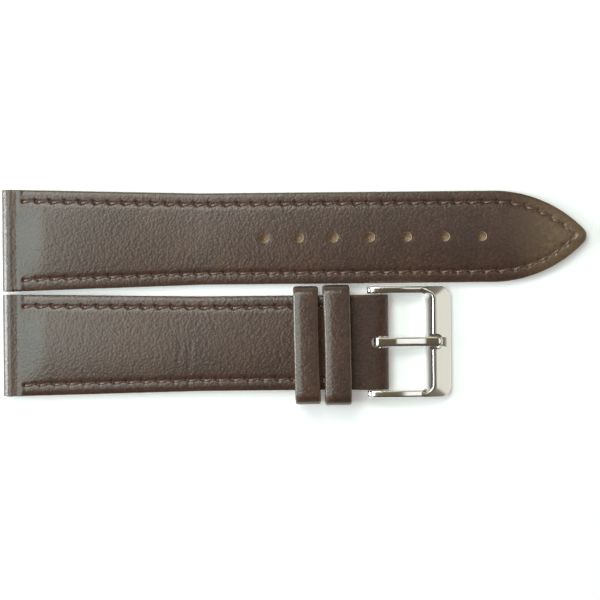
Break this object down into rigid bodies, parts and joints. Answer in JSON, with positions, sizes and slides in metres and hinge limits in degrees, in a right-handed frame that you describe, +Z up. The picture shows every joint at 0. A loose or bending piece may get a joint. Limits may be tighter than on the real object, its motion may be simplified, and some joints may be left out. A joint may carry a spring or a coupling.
{
  "type": "leather watch strap",
  "caption": "Two-piece leather watch strap with turned and stitched edges, punched adjusting holes, a pin buckle on a sprung bar, and a fixed and a free keeper.",
  "frame": {"origin": "middle of the whole strap's box in plan, on the surface that it lies on", "axes": "+X from the lug ends towards the buckle and the tip, +Y from the short piece across to the long piece, +Z up, out of the best side"},
  "size_m": [0.1146, 0.0426, 0.0074],
  "materials": {
    "cover_leather": "dark brown calf leather, fine smooth grain, semi-matte",
    "lining_leather": "natural tan lining leather, matte",
    "filler_board": "pressed fibre board",
    "sewing_thread": "reddish brown twisted polyester thread",
    "polished_steel": "polished stainless steel",
    "spring_steel": "drawn steel"
  },
  "bodies": {
    "short_strap": {"short_cover": "cover_leather", "short_filler": "filler_board", "short_lining": "lining_leather", "short_top_stitches": "sewing_thread", "short_bobbin_stitches": "sewing_thread", "fixed_keeper_cover": "cover_leather", "fixed_keeper_lining": "lining_leather", "fixed_keeper_stitches": "sewing_thread"},
    "free_keeper": {"free_keeper_cover": "cover_leather", "free_keeper_lining": "lining_leather", "free_keeper_stitches": "sewing_thread"},
    "spring_bar": {"bar_tube": "spring_steel", "bar_spring": "spring_steel"},
    "near_tip": {"bar_tip_near": "spring_steel"},
    "far_tip": {"bar_tip_far": "spring_steel"},
    "buckle": {"buckle_frame": "polished_steel"},
    "tongue": {"buckle_tongue": "polished_steel"},
    "long_strap": {"long_cover": "cover_leather", "long_filler": "filler_board", "long_lining": "lining_leather", "long_top_stitches": "sewing_thread", "long_bobbin_stitches": "sewing_thread"}
  },
  "joints": [
    {"name": "buckle_hinge", "type": "hinge", "parent": "short_strap", "child": "buckle", "pos_m": [0.0166, -0.0092, 0.0024], "axis": [0, -1, 0], "range_deg": [-75, 30]},
    {"name": "tongue_hinge", "type": "hinge", "parent": "buckle", "child": "tongue", "pos_m": [0.0166, -0.0092, 0.0024], "axis": [0, -1, 0], "range_deg": [0, 60]},
    {"name": "bar_spin", "type": "hinge", "parent": "short_strap", "child": "spring_bar", "pos_m": [0.0166, -0.0092, 0.0024], "axis": [0, 1, 0], "continuous": true},
    {"name": "near_tip_slide", "type": "slide", "parent": "spring_bar", "child": "near_tip", "axis": [0, 1, 0], "range_m": [0, 0.00095], "stiffness_N_per_m": 600, "deforming": ["bar_spring"]},
    {"name": "far_tip_slide", "type": "slide", "parent": "spring_bar", "child": "far_tip", "axis": [0, -1, 0], "range_m": [0, 0.00095], "stiffness_N_per_m": 600, "deforming": ["bar_spring"]},
    {"name": "free_keeper_slide", "type": "slide", "parent": "short_strap", "child": "free_keeper", "axis": [-1, 0, 0], "range_m": [0, 0.035]},
    {"name": "long_strap_apart", "type": "slide", "parent": "short_strap", "child": "long_strap", "axis": [0, 1, 0], "range_m": [0, 0.06]}
  ]
}
